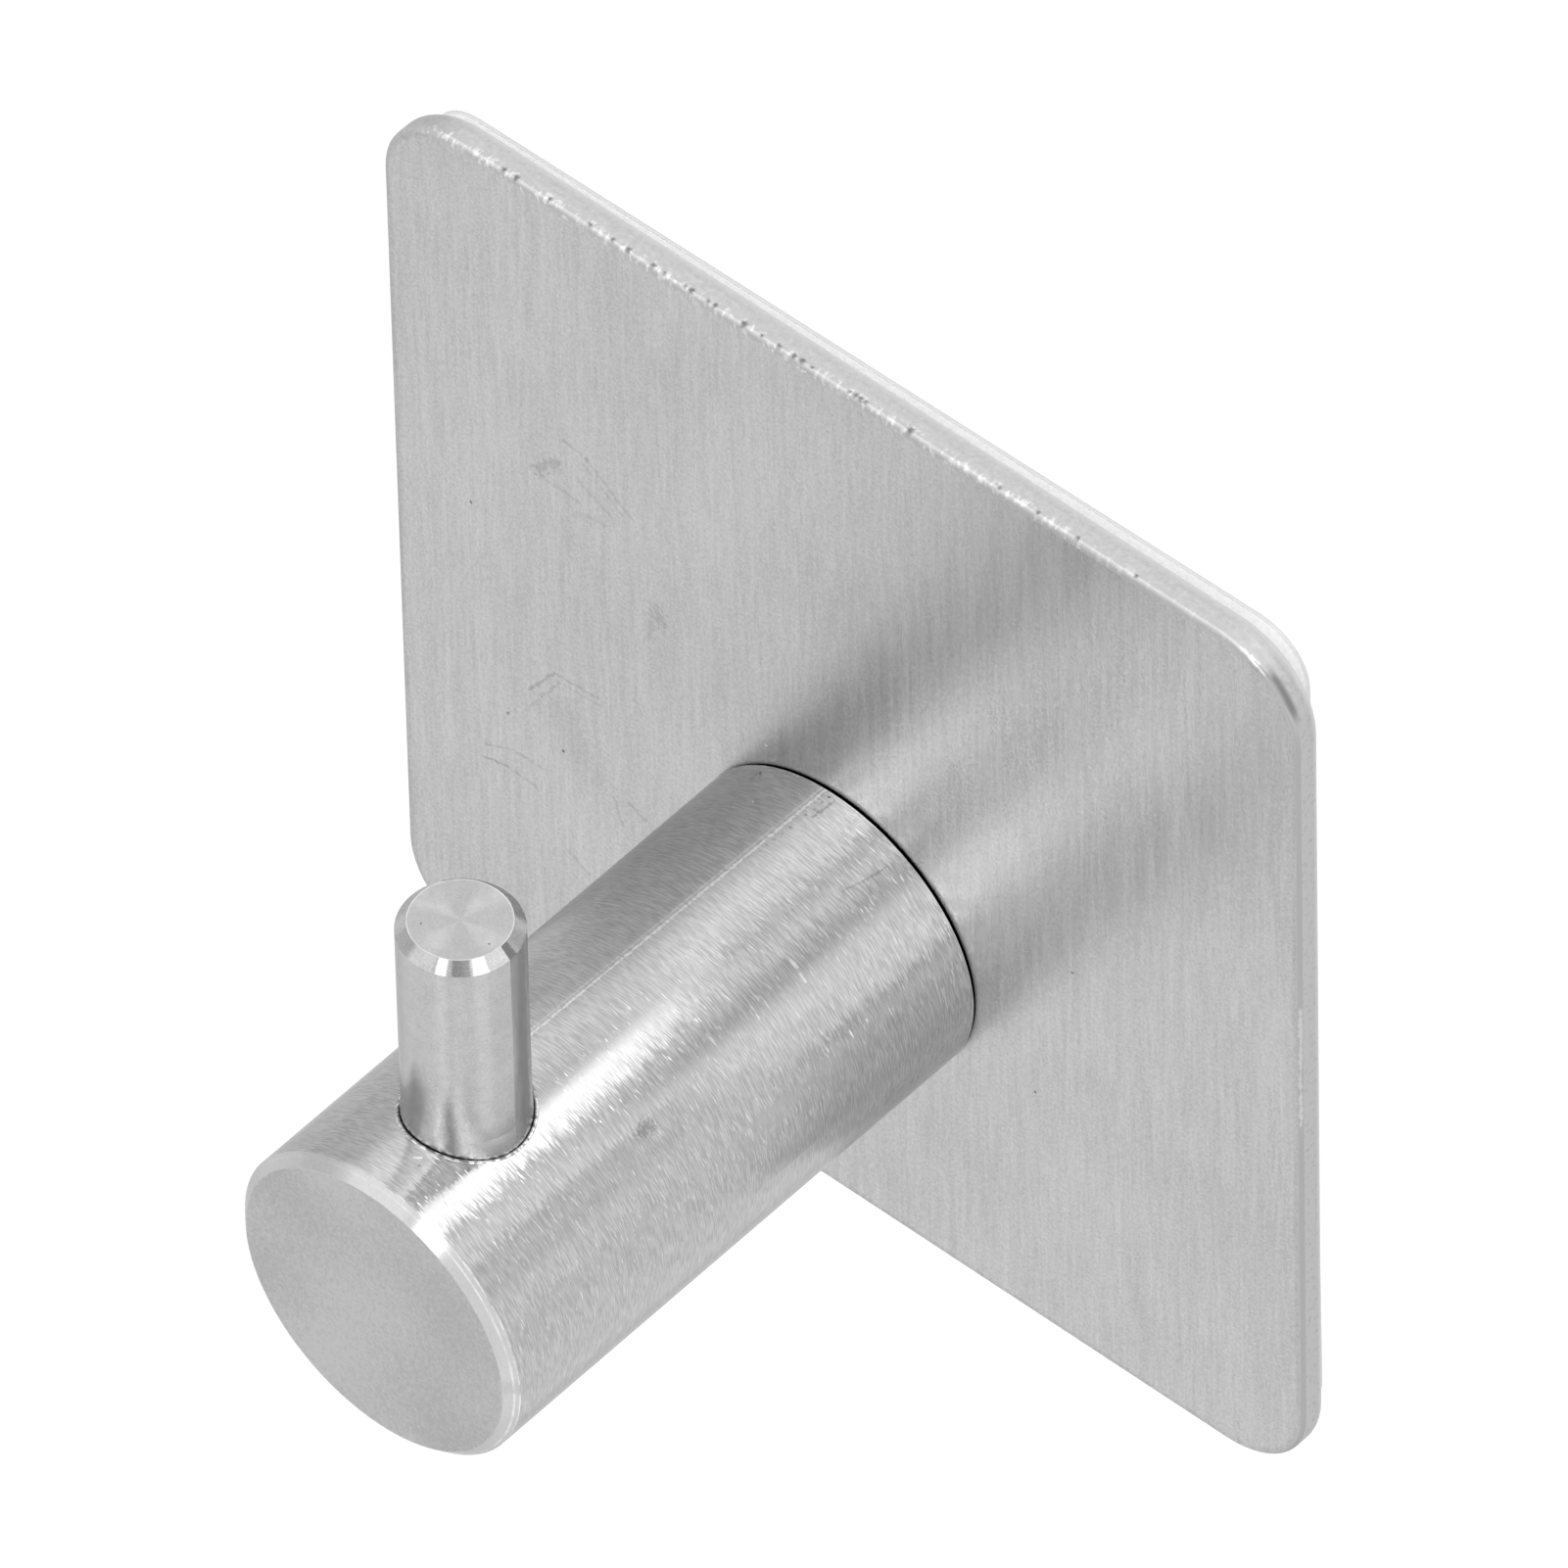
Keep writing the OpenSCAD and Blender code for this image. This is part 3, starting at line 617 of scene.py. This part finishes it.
# The roll's waves are about 5 mm apart, and the silicone mottles at 0.4 mm.
at = add(tree, "Mapping", {"Vector": point, "Scale": (12, 1, 5)}, vector_type="TEXTURE")
waves = add(tree, "TexNoise", {"Vector": at, "Scale": 1, "Detail": 2})
haze = add(tree, "TexNoise", {"Vector": point, "Scale": 1 / 0.4, "Detail": 2})
colour = add(tree, "Mix", {0: haze, 6: srgb("D2D2D3"), 7: srgb("DFDFE0")}, out=2, data_type="RGBA")
rough = add(tree, "MapRange", {"Value": haze, 1: 0.3, 2: 0.7, 3: 0.3, 4: 0.42})
bump = {"Strength": 0.3, "Distance": 0.0002, "Height": waves}
surface = add(tree, "BsdfPrincipled", {
    "Base Color": colour, "Roughness": rough, "IOR": 1.57, "Normal": add(tree, "Bump", bump),
})
add(tree, "OutputMaterial", {"Surface": surface}, out=None)
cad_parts["release_liner"].material_slots[0].material = film


# ---- Table ------------------------------------------------------------------------------------
# The hook is shown as it hangs, well above a plain white table. The table is a flat acrylic sheet
# that is lit until the lens sees it burnt out.
table_half, table_z = 20.0, -0.3
table_mesh = bpy.data.meshes.new("table")
signs = ((-1, -1), (1, -1), (1, 1), (-1, 1))
corners = [(sx * table_half, sy * table_half, table_z) for sx, sy in signs]
table_mesh.from_pydata(corners, [], [(0, 1, 2, 3)])
table = bpy.data.objects.new("table", table_mesh)
bpy.context.scene.collection.objects.link(table)
# White acrylic sheet: even and pale, with a gloss that doubles the lamps.
acrylic, tree, point, _ = new_finish("white_acrylic_sheet")
# Fine dust and wiping marks about 3 mm across.
dust = add(tree, "TexNoise", {"Vector": point, "Scale": 1 / 3, "Detail": 2})
colour = add(tree, "Mix", {0: dust, 6: srgb("DEDEDE"), 7: srgb("E2E2E2")}, out=2, data_type="RGBA")
sheet = add(tree, "BsdfPrincipled", {
    "Base Color": colour, "Roughness": 0.12, "IOR": 1.6, "Specular IOR Level": 1.0,
})
white, burnt = (1, 1, 1, 1), 1.05
burnt_out = add(tree, "Emission", {"Color": white, "Strength": burnt})
seen = add(tree, "LightPath", out="Is Camera Ray")
surface = add(tree, "MixShader", {0: seen, 1: sheet, 2: burnt_out})
add(tree, "OutputMaterial", {"Surface": surface}, out=None)
table_mesh.materials.append(acrylic)


# ---- Light ------------------------------------------------------------------------------------
# A white light tent with softboxes behind its cloth. Each row is one box or one dark gap: the way
# to it round the hook and up, its half width and half height, its soft edge, and its glow.
tent = bpy.data.worlds.new("light_tent")
bpy.context.scene.world = tent
tent.use_nodes = True
tree = tent.node_tree
tree.nodes.clear()


def towards(azimuth, elevation):
    """Unit vector to a place in the tent. Azimuth 0 is in front of the hook and 90 to its right."""
    a, e = math.radians(azimuth), math.radians(elevation)
    return Vector((math.sin(a) * math.cos(e), -math.cos(a) * math.cos(e), math.sin(e)))


# The cloth itself glows a little under white.
direction = add(tree, "TexCoord", out="Generated")
glow = 0.88
for azimuth, elevation, half_w, half_h, soft, level in (
    (-122, 4, 20, 28, 4, 0.66),
    (-137, 49, 14, 9, 4, 1.2),
    (-66, 8, 15, 24, 8, 0.68),
    (136, 22, 12, 12, 3, 0.36),
    (131, 43, 9, 8, 3, 1.1),
    (100, 34, 17, 9, 3, 1.25),
    (-27, 30, 17, 11, 6, 1.08),
    (65, 21.5, 16, 18.5, 3, 2.2),
    (76, 44, 9, 9, 2, 2.3),
    (47, 49.5, 7, 4, 2, 1.4),
    (7.5, 22, 7, 28, 2, 2.2),
    (-23, 60, 21, 9, 3, 2.4),
    (-72, 53, 12, 7, 3, 2.0),
    (32, 55, 6, 6, 2, 2.4),
    (67, 61, 9, 6, 3, 1.3),
    (157, 60, 8, 10, 2, 2.3),
    (16, 60, 3.5, 7, 2, 0.45),
    (42, 43.2, 12, 2.5, 2, 0.35),
    (33, 34, 7, 4.5, 2, 0.35),
    (-52, 36.5, 8, 3, 2, 0.45),
):
    middle = towards(azimuth, elevation)
    level_way = Vector((math.cos(math.radians(azimuth)), math.sin(math.radians(azimuth)), 0))
    inside = {0: direction, 1: middle}
    inside = add(tree, "VectorMath", inside, out="Value", operation="DOT_PRODUCT")
    inside = add(tree, "Math", {0: inside, 1: 0.0}, operation="GREATER_THAN")
    for way, half in ((level_way, half_w), (middle.cross(level_way), half_h)):
        off = add(tree, "VectorMath", {0: direction, 1: way}, out="Value", operation="DOT_PRODUCT")
        off = add(tree, "Math", {0: off}, operation="ABSOLUTE")
        out_at = math.sin(math.radians(half + soft / 2))
        in_at = math.sin(math.radians(half - soft / 2))
        off = {"Value": off, 1: out_at, 2: in_at}
        off = add(tree, "MapRange", off, interpolation_type="SMOOTHSTEP")
        inside = add(tree, "Math", {0: inside, 1: off}, operation="MULTIPLY")
    glow = add(tree, "Mix", {0: inside, 2: glow, 3: level}, data_type="FLOAT")
lit = add(tree, "Background", {"Color": white, "Strength": glow})
plain = add(tree, "Background", {"Color": white, "Strength": burnt})
seen = add(tree, "LightPath", out="Is Camera Ray")
surface = add(tree, "MixShader", {0: seen, 1: lit, 2: plain})
add(tree, "OutputWorld", {"Surface": surface}, out=None)


# ---- Camera -----------------------------------------------------------------------------------
# A long lens to the right of the hook and above it, 1.3 m away, held a little off level.
azimuth, elevation, tilt = 42.6986, 48.0147, math.radians(-1.4286)
distance = 1303.7
away = towards(azimuth, elevation)
level_way = Vector((math.cos(math.radians(azimuth)), math.sin(math.radians(azimuth)), 0))
upward = away.cross(level_way)
right = level_way * math.cos(tilt) + upward * math.sin(tilt)
up = upward * math.cos(tilt) - level_way * math.sin(tilt)
hook_middle = Vector((0, -10.5, 0))
aim_right, aim_up = 3.0013, 4.9478
target = hook_middle + right * aim_right + up * aim_up
camera = bpy.data.objects.new("camera", bpy.data.cameras.new("camera"))
bpy.context.scene.collection.objects.link(camera)
camera.data.lens, camera.data.sensor_width = 789.46, 36.0
camera.data.clip_start, camera.data.clip_end = 0.1, 60.0
stand = Matrix.Translation((target + away * distance) / 1000)
camera.matrix_world = stand @ Matrix((right, up, away)).transposed().to_4x4()
bpy.context.scene.camera = camera
bpy.context.scene.view_settings.view_transform = "Standard"
